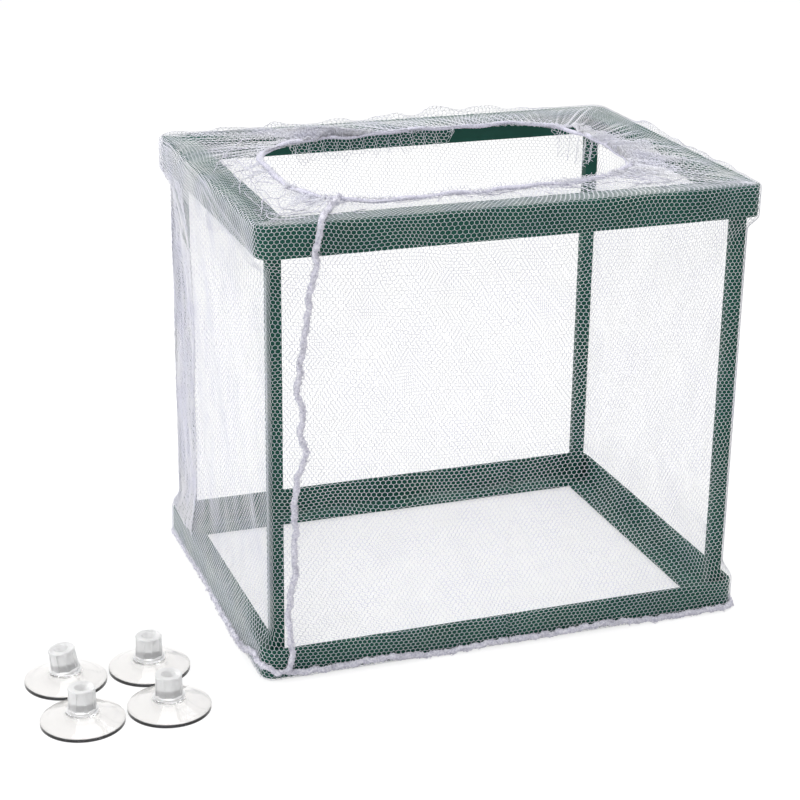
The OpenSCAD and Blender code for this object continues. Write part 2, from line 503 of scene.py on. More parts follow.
@dataclass(frozen=True)
class NetYarn(Finish):
    """White polyester yarn of the knitted net."""

    name: str = "net_yarn"
    slot: str = "net"
    shade: tuple[float, float, float] = (0.79, 0.79, 0.88)
    light: tuple[float, float, float] = (0.89, 0.89, 0.925)

    def wire(self, bench: Bench) -> None:
        """Add a faint lilac cast that wanders over the net, and a soft sheen."""
        cast = bench.noise(90, 3)
        bench.link(bench.blend(cast, 0.35, 0.65, self.shade, self.light), "Base Color")
        bench.set(Roughness=0.62, IOR=1.5, Sheen_Weight=0.25, Sheen_Roughness=0.4)
        bench.bump(bench.noise(9000, 1), 0.05, 0.4)


@dataclass(frozen=True)
class SeamThread(Finish):
    """Bulky overlocking thread of the seams."""

    name: str = "overlock_thread"
    slot: str = "seam_thread"
    shade: tuple[float, float, float] = (0.52, 0.51, 0.62)
    light: tuple[float, float, float] = (0.82, 0.81, 0.88)
    grain: float = 1500

    def wire(self, bench: Bench) -> None:
        """Add the fuzzy loops of the thread in colour and height."""
        loops = bench.noise(self.grain, 3)
        bench.link(bench.blend(loops, 0.34, 0.62, self.shade, self.light), "Base Color")
        bench.set(Roughness=0.85, IOR=1.5, Sheen_Weight=0.3, Sheen_Roughness=0.5)
        bench.bump(loops, 0.5, 0.7)


@dataclass(frozen=True)
class ElasticCover(Finish):
    """Close overlocking over the mouth's elastic, smoother than the seams."""

    name: str = "elastic_cover"
    slot: str = "elastic"
    shade: tuple[float, float, float] = (0.5, 0.49, 0.6)
    light: tuple[float, float, float] = (0.66, 0.65, 0.75)

    def wire(self, bench: Bench) -> None:
        """Add the close stitches in colour and height."""
        stitches = bench.noise(1900, 3)
        bench.link(bench.blend(stitches, 0.36, 0.6, self.shade, self.light), "Base Color")
        bench.set(Roughness=0.8, IOR=1.5, Sheen_Weight=0.2, Sheen_Roughness=0.5)
        bench.bump(stitches, 0.2, 0.5)


@dataclass(frozen=True)
class ClearVinyl(Finish):
    """Clear soft vinyl of the suction cups."""

    name: str = "clear_vinyl"
    slot: str = "clear_pvc"
    roughness: float = 0.04
    tint: tuple[float, float, float] = (0.925, 0.912, 0.9)

    def wire(self, bench: Bench) -> None:
        """Add glass-like transmission with the faint waves of a soft moulding."""
        bench.set(Base_Color=(*self.tint, 1), Transmission_Weight=1.0, Roughness=self.roughness, IOR=1.5)
        bench.bump(bench.noise(350, 2), 0.06, 0.35)


@dataclass(frozen=True)
class FrostedVinyl(Finish):
    """The same vinyl where the mould is matt, on the heads of the cups."""

    name: str = "frosted_vinyl"
    slot: str = "clear_pvc"

    def wire(self, bench: Bench) -> None:
        """Add milky transmission that hides most of what lies behind."""
        bench.set(Base_Color=(0.94, 0.942, 0.945, 1), Transmission_Weight=0.58, Roughness=0.28, IOR=1.42)
        bench.bump(bench.noise(700, 3), 0.08, 0.4)


def dress(piece: bpy.types.Object, finish: Finish, body: str, *nodes: str) -> bpy.types.Object:
    """Give a piece its finish and its body, and hide the CAD nodes that it stands for.

    Args:
        piece: The piece.
        finish: Its finish.
        body: The CAD body that it moves with.
        *nodes: The CAD nodes that it replaces.

    Returns:
        The same piece.
    """
    piece.data.materials.clear()
    piece.data.materials.append(finish.build())
    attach(piece, body)
    if nodes:
        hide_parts(*nodes)
    log.info("%s: %d faces, rides on %s", piece.name, len(piece.data.polygons), body)
    return piece


@dataclass
class PlasticFrame:
    """Two moulded rings with pegs and spigots, and the four square posts between them."""

    width: float = 170.0
    depth: float = 126.0
    wall_height: float = 10.0
    wall: float = 1.4
    flange: float = 10.5
    flange_thickness: float = 1.4
    corner: float = 4.5
    edge: float = 0.35
    post_edge: float = 0.45
    post_side: float = 4.5
    post_inset: float = 3.6
    spigot: float = 2.4
    spigot_height: float = 7.0
    spigot_fit: float = 0.1
    bore_spare: float = 1.0
    corner_segments: int = 7
    peg: float = 4.0
    peg_length: float = 6.0
    peg_spacing: float = 110.0
    peg_rise: float = 5.0
    finish: GreenPlastic = field(default_factory=GreenPlastic)

    def ring(self, name: str, foot: float, up: int) -> bpy.types.Object:
        """Model one ring.

        Args:
            name: The CAD node that it stands for.
            foot: Height of its flange's outer face.
            up: 1 where its wall stands up from the flange, -1 where it hangs.

        Returns:
            The ring.
        """
        middle = foot + up * self.wall_height / 2
        floor = foot + up * self.flange_thickness
        ring = Shop.block(name + "_moulding", (self.width, self.depth, self.wall_height), (0, 0, middle))
        Shop.select_edges(ring, lambda a, b: abs(a.z - b.z) > 1)
        bpy.ops.mesh.bevel(offset=self.corner * MM, segments=self.corner_segments, affect="EDGES")
        Shop.select_faces(ring, lambda centre, normal: normal.z * up > 0.9)
        bpy.ops.mesh.inset(thickness=self.wall * MM)
        drop = up * (self.flange_thickness - self.wall_height) * MM
        bpy.ops.mesh.extrude_region_move(TRANSFORM_OT_translate={"value": (0, 0, drop)})
        Shop.close()
        opening = (self.width - 2 * self.flange, self.depth - 2 * self.flange, 4 * self.flange_thickness)
        Shop.combine(ring, Shop.block("opening", opening, (0, 0, foot)), "DIFFERENCE")
        for side_x in (-1, 1):
            for side_y in (-1, 1):
                x, y = self.post_place(side_x, side_y)
                length = self.spigot_height + self.flange_thickness / 2
                centre = (x, y, floor + up * (length / 2 - self.flange_thickness / 2))
                Shop.combine(ring, Shop.rod("spigot", self.spigot / 2, length, centre), "UNION")
            length = self.peg_length + self.wall / 2
            centre = (
                side_x * self.peg_spacing / 2,
                self.depth / 2 - self.wall / 2 + length / 2,
                foot + up * (self.wall_height - self.peg_rise),
            )
            Shop.combine(ring, Shop.rod("peg", self.peg / 2, length, centre, (math.pi / 2, 0, 0)), "UNION")
        Shop.soften(ring, self.edge)
        return dress(ring, self.finish, BAG_BODY, name)

    def post_place(self, side_x: int, side_y: int) -> tuple[float, float]:
        """Give the middle of the post on one corner, from its sides of the x and y axes."""
        reach = self.post_inset + self.post_side / 2
        return side_x * (self.width / 2 - reach), side_y * (self.depth / 2 - reach)

    def post(self, name: str, side_x: int, side_y: int, low: float, high: float) -> bpy.types.Object:
        """Model one post with its bored ends.

        Args:
            name: The CAD node that it stands for.
            side_x: -1 on the left, 1 on the right.
            side_y: -1 at the front, 1 at the back.
            low: Height of its foot.
            high: Height of its head.

        Returns:
            The post.
        """
        x, y = self.post_place(side_x, side_y)
        side = self.post_side
        post = Shop.block(name + "_stick", (side, side, high - low), (x, y, (low + high) / 2))
        for end in (low, high):
            depth = self.spigot_height + self.bore_spare
            bore = Shop.rod("bore", (self.spigot + self.spigot_fit) / 2, 2 * depth, (x, y, end))
            Shop.combine(post, bore, "DIFFERENCE")
        Shop.soften(post, self.post_edge, 3)
        return dress(post, self.finish, BAG_BODY, name)

    def build(self) -> None:
        """Model both rings and the four posts."""
        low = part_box("bottom_frame")[0].z / MM
        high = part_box("top_frame")[1].z / MM
        self.ring("bottom_frame", low, 1)
        self.ring("top_frame", high, -1)
        for name, side_x, side_y in (
            ("post_front_left", -1, -1),
            ("post_front_right", 1, -1),
            ("post_back_left", -1, 1),
            ("post_back_right", 1, 1),
        ):
            self.post(name, side_x, side_y, low + self.flange_thickness, high - self.flange_thickness)


@dataclass(frozen=True)
class Knit:
    """One cell of the hexagonal net in its flat cloth, and the thickness of its strands."""

    column: float = 1.67
    row: float = 1.19
    upright: float = 0.79
    zigzag_radius: float = 0.084
    upright_radius: float = 0.104
    cloth_share: float = 0.48

    @property
    def half_column(self) -> float:
        """Distance between neighbouring nodes of a row."""
        return self.column / 2


@dataclass
class NetPatch:
    """A patch of the knitted net, as strands over a surface.

    The surface turns places in the flat cloth, girthwise and lengthwise in millimetres, into points of space.
    """

    name: str
    surface: Surface
    first_column: int
    last_column: int
    first_row: int
    last_row: int
    knit: Knit = field(default_factory=Knit)
    keep: Callable[[Array, Array], Array] | None = None
    tangle: float = 0.0
    step: float | None = None
    probe: float = 0.15

    def cloth_places(self) -> tuple[Array, Array]:
        """Give the places of all nodes in the flat cloth, row by row."""
        columns = np.arange(self.first_column, self.last_column + 1)
        rows = np.arange(self.first_row, self.last_row + 1)
        column, row = np.meshgrid(columns, rows)
        rise = self.knit.row - self.knit.upright
        peak = (column + row) % 2 == 0
        a = column * (self.step or self.knit.half_column)
        b = row * self.knit.row + np.where(peak, rise, 0.0)
        return a, b.astype(float)

    def build(self) -> bpy.types.Object:
        """Lay the strands over the surface and make the piece."""
        a, b = self.cloth_places()
        shape = a.shape
        flat_a, flat_b = a.ravel(), b.ravel()
        small = self.probe
        middle = self.surface(flat_a, flat_b)
        along = unit(self.surface(flat_a + small, flat_b) - self.surface(flat_a - small, flat_b))
        up = unit(self.surface(flat_a, flat_b + small) - self.surface(flat_a, flat_b - small))
        out = unit(np.cross(along, up))
        if self.tangle:
            dice = np.random.default_rng(len(flat_a))
            middle = middle + dice.normal(0, self.tangle, middle.shape)
        kept = np.ones(len(flat_a), dtype=bool) if self.keep is None else self.keep(flat_a, flat_b)
        points, faces = [], []
        number = np.arange(len(flat_a)).reshape(shape)
        left, right = number[:, :-1].ravel(), number[:, 1:].ravel()
        good = kept[left] & kept[right]
        self.chain(points, faces, middle, out, up, left[good], right[good])
        column = np.arange(self.first_column, self.last_column + 1)
        row = np.arange(self.first_row, self.last_row + 1)
        peak = (column[None, :] + row[:-1, None]) % 2 == 0
        foot, head = number[:-1][peak], number[1:][peak]
        good = kept[foot] & kept[head]
        self.pillars(points, faces, middle, out, along, foot[good], head[good])
        return Shop.mesh(self.name, np.concatenate(points), np.concatenate(faces), 4)

    def chain(
        self,
        points: list[Array],
        faces: list[Array],
        middle: Array,
        out: Array,
        up: Array,
        left: Array,
        right: Array,
    ) -> None:
        """Add the zigzag strands, three sided, with their corners shared at the nodes.

        Args:
            points: List that the corners are added to.
            faces: List that the faces are added to.
            middle: The nodes' places.
            out: The surface's normal at each node.
            up: The lengthwise direction at each node.
            left: Node at the left end of each strand.
            right: Node at the right end of each strand.
        """
        radius = self.knit.zigzag_radius
        base = sum(len(p) for p in points)
        for turn in range(3):
            angle = 2 * math.pi * turn / 3
            points.append(middle + radius * (math.cos(angle) * out + math.sin(angle) * up))
        count = len(middle)
        for turn in range(3):
            first, second = base + turn * count, base + (turn + 1) % 3 * count
            faces.append(np.stack([first + left, first + right, second + right, second + left], axis=1))

    def pillars(
        self,
        points: list[Array],
        faces: list[Array],
        middle: Array,
        out: Array,
        along: Array,
        foot: Array,
        head: Array,
    ) -> None:
        """Add the upright strands, three sided, each with its own corners.

        Args:
            points: List that the corners are added to.
            faces: List that the faces are added to.
            middle: The nodes' places.
            out: The surface's normal at each node.
            along: The girthwise direction at each node.
            foot: Node at the foot of each strand.
            head: Node at the head of each strand.
        """
        radius = self.knit.upright_radius
        base = sum(len(p) for p in points)
        count = len(foot)
        for end in (foot, head):
            for turn in range(3):
                angle = 2 * math.pi * turn / 3
                spoke = math.cos(angle) * out[end] - math.sin(angle) * along[end]
                points.append(middle[end] + radius * spoke)
        one = np.arange(count)
        for turn in range(3):
            first, second = base + turn * count + one, base + (turn + 1) % 3 * count + one
            faces.append(np.stack([first, first + 3 * count, second + 3 * count, second], axis=1))


@dataclass
class NetBag:
    """The net bag: side wall, floor and gathered top, as one cloth that goes round the frame."""

    half_width: float = 85.5
    half_depth: float = 63.5
    corner: float = 4.8
    top: float = 152.25
    edge: float = 1.0
    ring_low: float = 10.7
    ring_high: float = 141.7
    waist: float = 3.5
    foot_turn: float = 22.0
    head_turn: float = 26.0
    corner_foot_turn: float = 7.0
    corner_head_turn: float = 5.0
    floor: float = 0.22
    columns: int = 704
    drift: float = 0.6
    course_rise: float = 17.0
    course_drop: float = 6.0
    spare_rows: int = 18
    fold_layers: int = 3
    pleat_layers: int = 3
    bunched: Knit = Knit(zigzag_radius=0.105, upright_radius=0.125)
    mouth_width: float = 119.0
    mouth_depth: float = 83.6
    mouth_power: float = 3.8
    mouth_skew: float = 0.065
    mouth_x: float = -3.2
    mouth_y: float = -3.4
    knit: Knit = field(default_factory=Knit)
    finish: NetYarn = field(default_factory=NetYarn)

    def __post_init__(self) -> None:
        """Work out the bag's outline and the way that its top is drawn to the mouth."""
        self.make_outline()
        self.make_mouth()
        self.wall_ripple = Ripple(11, 60, 90)
        self.small_ripple = Ripple(12, 14, 40)
        self.top_ripple = Ripple(13, 9, 60)
        self.finger_ripple = Ripple(14, 11, 60)
        self.girth_drift = Ripple(21, 34, 46)
        self.height_drift = Ripple(22, 46, 34)

    def make_outline(self) -> None:
        """Tabulate the bag's outline by its girth, anticlockwise from the middle of the front."""
        x, y, r = self.half_width - self.corner, self.half_depth - self.corner, self.corner
        places, normals = [(0.0, -self.half_depth)], [(0.0, -1.0)]
        for centre_x, centre_y, start in ((x, -y, -90), (x, y, 0), (-x, y, 90), (-x, -y, 180)):
            for angle in np.radians(np.linspace(start, start + 90, 17)):
                places.append((centre_x + r * math.cos(angle), centre_y + r * math.sin(angle)))
                normals.append((math.cos(angle), math.sin(angle)))
        places.append((0.0, -self.half_depth))
        normals.append((0.0, -1.0))
        self.outline_places = np.array(places)
        self.outline_normals = np.array(normals)
        steps = np.linalg.norm(np.diff(self.outline_places, axis=0), axis=1)
        self.outline_girth = np.concatenate([[0], np.cumsum(steps)])
        self.girth = float(self.outline_girth[-1])
        self.step = self.girth / self.columns
        arc = r * math.pi / 2
        self.corners = [x + arc / 2]
        for side in (2 * y, 2 * x, 2 * y):
            self.corners.append(self.corners[-1] + arc + side)

    def outline(self, girth: Array) -> tuple[Array, Array]:
        """Give the places and outward normals of the outline.

        Args:
            girth: Girth positions in millimetres.

        Returns:
            Places and normals, one row of x and y each.
        """
        wrapped = np.mod(girth, self.girth)
        place = look_up(wrapped, self.outline_girth, self.outline_places)
        normal = look_up(wrapped, self.outline_girth, self.outline_normals)
        return place, normal / np.linalg.norm(normal, axis=1, keepdims=True)

    def mouth_ray(self, angle: Array) -> Array:
        """Give the mouth's edge at angles from its centre, one row of x and y each."""
        rx, ry, power = self.mouth_width / 2, self.mouth_depth / 2, self.mouth_power
        total = (np.abs(np.cos(angle)) / rx) ** power + (np.abs(np.sin(angle)) / ry) ** power
        reach = total ** (-1 / power)
        x, y = reach * np.cos(angle), reach * np.sin(angle)
        return np.stack([self.mouth_x + x, self.mouth_y + y + self.mouth_skew * x], axis=1)

    def make_mouth(self) -> None:
        """Tabulate the mouth's edge by its own length, and where each girth position is drawn to."""
        angle = np.linspace(-math.pi / 2, 1.5 * math.pi, 1441)
        self.mouth_places = self.mouth_ray(angle)
        steps = np.linalg.norm(np.diff(self.mouth_places, axis=0), axis=1)
        self.mouth_length_at = np.concatenate([[0], np.cumsum(steps)])
        self.mouth_length = float(self.mouth_length_at[-1])
        girth = np.linspace(0, self.girth, 1200)
        place, _ = self.outline(girth)
        inner = place * np.array([0.72, 0.66])
        ray = np.unwrap(np.arctan2(inner[:, 1] - self.mouth_y, inner[:, 0] - self.mouth_x)) + math.pi / 2
        rounds = np.floor(ray / (2 * math.pi))
        plain = np.interp(ray - rounds * 2 * math.pi, angle + math.pi / 2, self.mouth_length_at)
        plain = plain + rounds * self.mouth_length
        share = np.gradient(plain, girth)
        for middle, spread, factor in self.gathers():
            share = share * (1 + (factor - 1) * hump(self.away_from(girth, middle), 0, spread))
        drawn = np.concatenate([[0], np.cumsum((share[1:] + share[:-1]) / 2)])
        self.drawn_girth = girth
        self.drawn_to = plain[0] + drawn / drawn[-1] * self.mouth_length

    def away_from(self, girth: Array, middle: float) -> Array:
        """Give the shorter way round the bag from each girth position to a middle."""
        return np.abs(np.mod(girth - middle + self.girth / 2, self.girth) - self.girth / 2)

    def gathers(self) -> tuple[tuple[float, float, float], ...]:
        """List where the top is gathered: girth position, spread and share of the even spacing."""
        right, back_left, left = self.corners[0] + 60, self.corners[2] - 14, self.corners[3] - 30
        return ((right, 34, 0.6), (back_left, 22, 0.5), (left, 34, 1.5), (self.girth - 20, 30, 1.2))

    def mouth_place(self, length: Array) -> Array:
        """Give points on the mouth's edge by the length along it, one row of x and y each."""
        wrapped = np.mod(length, self.mouth_length)
        return look_up(wrapped, self.mouth_length_at, self.mouth_places)

    def near_corner(self, girth: Array, spread: float) -> Array:
        """Say how near each girth position is to an upright corner, from 0 to 1."""
        total = np.zeros_like(girth)
        for corner in self.corners:
            total = np.maximum(total, hump(self.away_from(girth, corner), 0, spread))
        return total

    def wall_inset(self, girth: Array, height: Array) -> Array:
        """Say how far the wall is drawn in between the rings, towards the posts."""
        near = self.near_corner(girth, 18)
        foot = self.foot_turn - (self.foot_turn - self.corner_foot_turn) * near
        head = self.head_turn - (self.head_turn - self.corner_head_turn) * near
        rise = smooth_step(height, self.ring_low, self.ring_low + foot)
        fall = 1 - smooth_step(height, self.ring_high - head, self.ring_high)
        free = rise * fall
        pull = 0.55 + 0.45 * self.near_corner(girth, 34)
        loose = 1 - self.near_corner(girth, 12)
        waves = 0.28 * self.wall_ripple(girth, height) + 0.1 * self.small_ripple(girth, height)
        return free * (self.waist * pull + waves * loose)

    @property
    def flat_start(self) -> float:
        """Length up the cloth where it has turned over the top edge and lies flat."""
        return self.top - self.edge + self.edge * math.pi / 2

    def top_reach(self, girth: Array) -> Array:
        """Give the distance from the top edge to the mouth at each girth position."""
        place, _ = self.outline(girth)
        return np.linalg.norm(self.drawn_place(girth) - place, axis=1) - self.edge

    def drawn_place(self, girth: Array) -> Array:
        """Give the point of the mouth that each girth position is drawn to."""
        wrapped = np.mod(girth, self.girth)
        return self.mouth_place(np.interp(wrapped, self.drawn_girth, self.drawn_to))

    def lie(self, girth: Array, height: Array) -> tuple[Array, Array]:
        """Say where the cloth lies: it drifts a little, and its courses rise towards the back left.

        Args:
            girth: Girthwise places in the cloth.
            height: Lengthwise places in the cloth.

        Returns:
            Girth positions and lengths up the bag.
        """
        turned = np.mod(girth, self.girth)
        rise = self.course_rise * hump(turned, self.corners[2] + 6, 110) - self.course_drop
        free = smooth_step(height, 4, 20) * (1 - 0.6 * smooth_step(height, self.top, self.top + 10))
        moved = girth + self.drift * free * self.girth_drift(turned, height)
        return moved, height + rise + self.drift * free * self.height_drift(turned, height)

    def surface(self, girth: Array, height: Array) -> Array:
        """Give points of the bag's side wall and top.

        Args:
            girth: Girthwise places in the cloth, in millimetres.
            height: Lengthwise places in the cloth, which go on inwards over the top.

        Returns:
            One row of x, y and z for each place.
        """
        return self.rest(*self.lie(girth, height))

    def rest(self, girth: Array, height: Array) -> Array:
        """Give points of the bag's side wall and top from places on the frame.

        Args:
            girth: Girth positions in millimetres.
            height: Lengths up from the table, which go on inwards over the top.

        Returns:
            One row of x, y and z for each place.
        """
        place, normal = self.outline(girth)
        turn_start = self.top - self.edge
        angle = np.clip((height - turn_start) / self.edge, 0, math.pi / 2)
        over = np.maximum(height - self.flat_start, 0)
        inset = np.where(height < turn_start, self.wall_inset(girth, height), 0)
        inset = inset + self.edge * (1 - np.cos(angle))
        level = np.minimum(height, turn_start) + self.edge * np.sin(angle)
        xy = place - normal * inset[:, None]
        drawn = self.drawn_place(girth)
        span = drawn - place
        reach = np.linalg.norm(span, axis=1) - self.edge
        share = np.clip(over / reach, 0, 1)
        towards = unit(span)
        blend = smooth_step(over, 0, 9)[:, None]
        lead = towards * blend - normal * (1 - blend)
        line = place - normal * self.edge + lead * over[:, None]
        end = place + span * ((share * reach + self.edge) / (reach + self.edge))[:, None]
        settle = smooth_step(share, 0.0, 0.5)[:, None]
        xy = np.where((over > 0)[:, None], line * (1 - settle) + end * settle, xy)
        fold = self.top_fold(girth, over, share)
        lift = fold + self.ridge(np.mod(girth, self.girth), height)
        return np.concatenate([xy, (level + lift)[:, None]], axis=1)

    def top_fold(self, girth: Array, over: Array, share: Array) -> Array:
        """Give the height of the folds in the gathered top."""
        bunch = 0.5 + 1.6 * self.bunching(girth)
        ridges = np.abs(self.top_ripple(girth, over * 0.4)) * 1.1
        return smooth_step(over, 2, 14) * bunch * ridges * (0.4 + 0.6 * share)

    def ridge(self, girth: Array, height: Array) -> Array:
        """Give the rise of the loose fold that stands on the ring's right and back edges."""
        wave = self.small_ripple(girth, height * 0)
        right_start = self.corners[0]
        rail = smooth_step(girth, right_start + 6, right_start + 22)
        rail *= 1 - smooth_step(girth, right_start + 84, right_start + 96)
        right = rail * (0.8 + 0.4 * wave) + hump(girth, right_start + 82, 9) * 1.6
        back = hump(girth, self.corners[1] + 58, 22) * (2.4 + 0.8 * wave)
        along = hump(girth, self.corners[1] + 112, 50) * np.maximum(0.5 + 0.9 * wave, 0)
        return np.maximum(right + back + along, 0) * hump(height, self.top + 0.8, 2.6)

    def bunching(self, girth: Array) -> Array:
        """Say how much the top is bunched up at each girth position, from 0 to 1."""
        total = np.zeros_like(girth)
        for middle, spread, factor in self.gathers():
            if factor < 1:
                total = np.maximum(total, hump(self.away_from(girth, middle), 0, 1.3 * spread))
        return total

    def floor_surface(self, x: Array, y: Array) -> Array:
        """Give points of the bag's flat floor from places in its cloth."""
        z = self.floor + 0.12 * (1 + self.wall_ripple(x, y)) * 0.5
        return np.stack([x, y, z], axis=1)

    def panel(self, name: str, first: int, last: int, side: Side) -> None:
        """Make the net of one side of the wall.

        Args:
            name: The CAD node that it stands for.
            first: Its first column.
            last: Its last column.
            side: The side that it is on.
        """
        rows = int(self.top / self.knit.row) + self.spare_rows

        def on_wall(girth: Array, height: Array) -> Array:
            """Keep the nodes between the table and the top edge."""
            _, lying = self.lie(girth, height)
            return (lying >= self.floor) & (lying < self.top + self.knit.row)

        halves = 2 if side in (Side.FRONT, Side.BACK) else 1
        cuts = [first + (last - first) * k // halves for k in range(halves + 1)]
        for k in range(halves):
            label = f"{name}_knit_{k + 1}" if halves > 1 else name + "_knit"
            ends = (cuts[k], cuts[k + 1], -self.spare_rows, rows)
            patch = NetPatch(label, self.surface, *ends, self.knit, keep=on_wall, step=self.step)
            piece = dress(patch.build(), self.finish, BAG_BODY, name)

    def build(self) -> None:
        """Make the four sides, the floor and the top."""
        marks = [round(corner / self.step) for corner in self.corners]
        self.panel("net_front", marks[3] - self.columns, marks[0], Side.FRONT)
        self.panel("net_right", marks[0], marks[1], Side.RIGHT)
        self.panel("net_back", marks[1], marks[2], Side.BACK)
        self.panel("net_left", marks[2], marks[3], Side.LEFT)
        self.build_floor()
        self.build_top()

    def build_floor(self) -> None:
        """Make the floor's net."""
        across = int(self.half_width / self.knit.half_column)
        along = int(self.half_depth / self.knit.row)

        def inside(x: Array, y: Array) -> Array:
            """Keep the nodes within the bag's outline."""
            dx = np.maximum(np.abs(x) - (self.half_width - self.corner), 0)
            dy = np.maximum(np.abs(y) - (self.half_depth - self.corner), 0)
            return np.hypot(dx, dy) < self.corner

        for k, (first, last) in enumerate(((-across, 0), (0, across))):
            label = f"net_floor_knit_{k + 1}"
            patch = NetPatch(label, self.floor_surface, first, last, -along, along, self.knit, keep=inside)
            piece = dress(patch.build(), self.finish, BAG_BODY, "net_floor")

    def build_top(self) -> None:
        """Make the gathered top's net and the folds that lie double on it."""
        middle_row = int(self.top / self.knit.row)

        def before_mouth(girth: Array, height: Array) -> Array:
            """Keep the nodes between the top edge and the mouth."""
            moved, lying = self.lie(girth, height)
            return (lying > self.top - 0.5) & (lying - self.flat_start < self.top_reach(moved) + 0.8)

        pieces = []
        ends = (0, self.columns, middle_row - self.spare_rows, middle_row + 40)
        patch = NetPatch("net_top_knit", self.surface, *ends, self.knit, keep=before_mouth, step=self.step)
        pieces.append(dress(patch.build(), self.finish, BAG_BODY, "net_top"))
        for layer in range(1, self.fold_layers + 1):
            pieces.append(self.fold_layer(layer, ends, before_mouth))
        trims = Needlework(self).build() + pieces[1:] + [self.pleats()]

    def gather_depth(self, girth: Array) -> Array:
        """Say how far from the mouth the top lies in doubled folds, at each girth position."""
        turned = np.mod(girth, self.girth)
        fingers = np.clip(self.finger_ripple(turned, turned * 0), 0, None) ** 1.5
        left = hump(turned, self.corners[3] - 48, 46) * 15 * fingers
        front_left = 9 * hump(turned, self.corners[3] + 3, 12)
        front_right = 15 * hump(turned, self.corners[0] + 4, 26)
        right = 12 * hump(turned, self.corners[0] + 50, 34)
        back_right = 9 * hump(turned, self.corners[1] - 12, 30)
        back_left = 28 * hump(turned, self.corners[2] - 8, 24)
        return 3.5 + front_right + right + back_right + back_left + left + front_left

    def fold_layer(self, layer: int, ends: Sequence[int], before_mouth: Surface) -> bpy.types.Object:
        """Make one layer of the doubled folds round the mouth.

        Args:
            layer: Number of the layer.
            ends: First and last columns and rows of the top.
            before_mouth: Says which nodes haven't reached the mouth.

        Returns:
            The piece.
        """
        ruck = Ripple(40 + layer, 7, 30)
        edge = Ripple(50 + layer, 24, 60)

        def rucked(girth: Array, height: Array) -> Array:
            """Give points of the layer, shifted along and lifted in rucks."""
            shift = 0.9 * layer + 0.5 * ruck(height * 1.3, girth)
            place = self.surface(girth + shift, height + 0.5 * layer)
            place[:, 2] += 0.3 * layer + 0.35 * np.abs(ruck(girth, height))
            return place

        def gathered(girth: Array, height: Array) -> Array:
            """Keep the nodes that lie in the doubled folds."""
            moved, lying = self.lie(girth, height)
            left = self.top_reach(moved) - (lying - self.flat_start)
            ragged = (1 + 0.25 * edge(girth, height * 0)) * (1.15 - 0.2 * layer)
            inside = left < self.gather_depth(moved) * ragged
            return before_mouth(girth, height) & inside & (lying > self.flat_start + 1)

        patch = NetPatch(f"net_top_folds_{layer}", rucked, *ends, self.bunched, keep=gathered, step=self.step)
        return dress(patch.build(), self.finish, BAG_BODY, "net_top")

    def pleats(self) -> bpy.types.Object:
        """Make the pleats of spare net that hang over the back left post."""
        corner = self.corners[2]
        layers = []
        first, last = (round((corner + away) / self.step) for away in (-3, 34))
        for layer in range(self.pleat_layers):
            slant = 0.8 * layer

            def hung(girth: Array, height: Array, layer: int = layer) -> Array:
                """Give points of the pleat, just outside the wall."""
                place = self.surface(girth + 0.4 * layer, height)
                _, normal = self.outline(girth)
                proud = 0.15 + 0.18 * layer + 0.1 * self.small_ripple(girth * 2, height)
                place[:, :2] += normal * np.maximum(proud, 0.1)[:, None]
                return place

            def below_patch(girth: Array, height: Array, slant: float = slant) -> Array:
                """Keep the nodes below the slanting fold."""
                _, lying = self.lie(girth, height)
                away, high = girth - corner - 21, lying - 131 - slant
                outside = ((away - high) / 25) ** 2 + ((away + high) / 11) ** 2 > 1
                return (lying >= self.ring_low + 2) & (lying < self.ring_high + 1) & outside

            ends = (first, last, -self.spare_rows, int(self.top / self.knit.row))
            patch = NetPatch("pleat", hung, *ends, self.knit, keep=below_patch, tangle=0.06, step=self.step)
            layers.append(patch.build())
        layers.append(self.tuck())
        return dress(Shop.join(layers, "net_left_pleats"), self.finish, BAG_BODY, "net_left")

    def tuck(self) -> bpy.types.Object:
        """Make the tuck of spare net that lies along the upper ring's left wall."""
        def hung(girth: Array, height: Array) -> Array:
            """Give points of the tuck, just outside the wall."""
            place = self.surface(girth + 0.5, height + 0.4)
            _, normal = self.outline(girth)
            low = 1 - smooth_step(height, self.ring_high - 3, self.ring_high + 3)
            place[:, :2] += normal * (0.22 + 0.5 * low)[:, None]
            return place

        def on_ring(girth: Array, height: Array) -> Array:
            """Keep the nodes from a little below the ring to its top edge."""
            _, lying = self.lie(girth, height)
            lower = self.ring_high - 3.5 - 2.0 * self.wall_ripple(girth, girth * 0)
            return (lying > lower) & (lying < self.top + 0.6)

        back, front = (round(corner / self.step) for corner in self.corners[2:])
        middle_row = int(self.top / self.knit.row)
        ends = (back, front - 4, middle_row - 2 * self.spare_rows, middle_row + self.spare_rows)
        return NetPatch("tuck", hung, *ends, self.knit, keep=on_ring, step=self.step).build()


